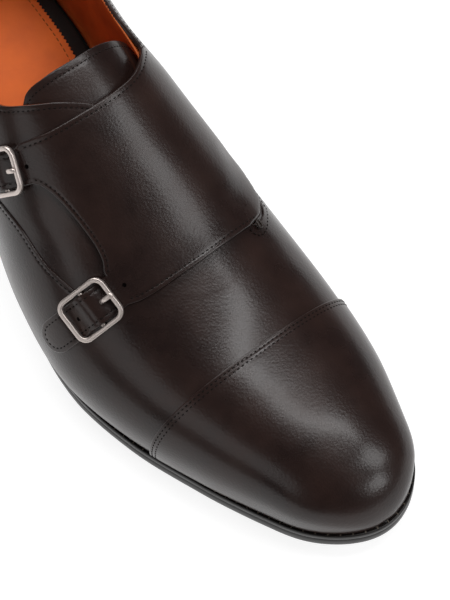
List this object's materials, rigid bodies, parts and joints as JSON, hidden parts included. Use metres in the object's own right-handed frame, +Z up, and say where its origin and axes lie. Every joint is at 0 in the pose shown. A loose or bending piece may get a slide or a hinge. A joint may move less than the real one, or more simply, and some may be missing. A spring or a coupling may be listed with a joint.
{
  "type": "monk strap shoe",
  "caption": "Right-foot leather monk strap shoe with a cap toe, a buckled instep flap, a stitched welt and a low heel.",
  "frame": {"origin": "middle of the shoe's box, on the ground it stands on", "axes": "+X towards the toe, +Z up, the outer side of this right shoe towards -Y"},
  "size_m": [0.2974, 0.1036, 0.1009],
  "materials": {
    "upper_leather": "polished dark brown calf, semi-gloss",
    "lining_leather": "matte tan lining leather",
    "sock_leather": "smooth tan sock leather",
    "sole_leather": "dark waxed edge",
    "heel_leather": "stacked leather, dark waxed",
    "heel_rubber": "matte black rubber",
    "nickel": "satin nickel",
    "thread": "waxed dark brown thread"
  },
  "bodies": {
    "root": {"upper": "upper_leather", "toe_cap": "upper_leather", "tongue": "upper_leather", "strap_flap": "upper_leather", "buckle_front": "nickel", "buckle_rear": "nickel", "prong_front": "nickel", "prong_rear": "nickel", "welt": "sole_leather", "outsole": "sole_leather", "heel_block": "heel_leather", "heel_top_piece": "heel_rubber", "insole": "sock_leather"}
  },
  "joints": []
}
